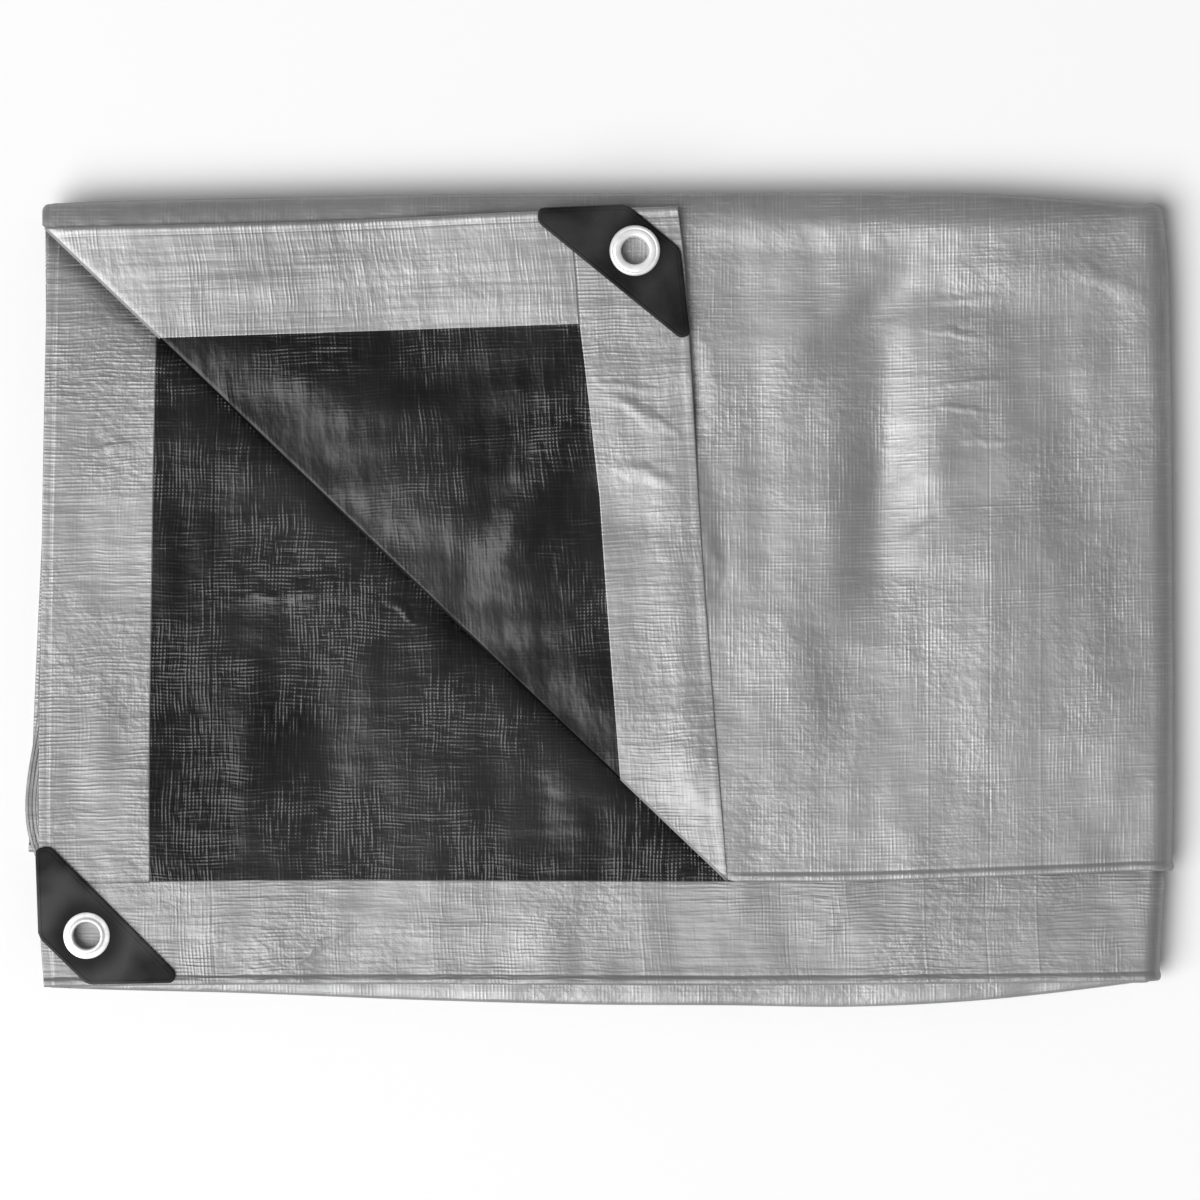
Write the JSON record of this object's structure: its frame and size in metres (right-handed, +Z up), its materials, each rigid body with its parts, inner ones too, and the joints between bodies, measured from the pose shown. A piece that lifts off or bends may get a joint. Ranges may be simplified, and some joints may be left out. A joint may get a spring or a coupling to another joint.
{
  "type": "folded tarp",
  "caption": "Woven tarp, silver outside and black inside, folded into a flat pack with one corner turned back; hemmed edges, corner patches with eyelets.",
  "frame": {"origin": "centre of the pack's footprint, on the surface it lies on", "axes": "+X along the pack towards its smooth right-hand fold, +Y towards the rounded upper fold, +Z up"},
  "size_m": [0.5072, 0.3586, 0.0306],
  "materials": {
    "cloth": "satin silver laminated weave, black inside",
    "patch": "matte moulded black",
    "eyelet": "bright satin"
  },
  "bodies": {
    "root": {"tarp_cloth": "cloth", "corner_patch_lower": "patch", "corner_patch_flap": "patch", "eyelet_lower": "eyelet", "eyelet_flap": "eyelet"}
  },
  "joints": []
}
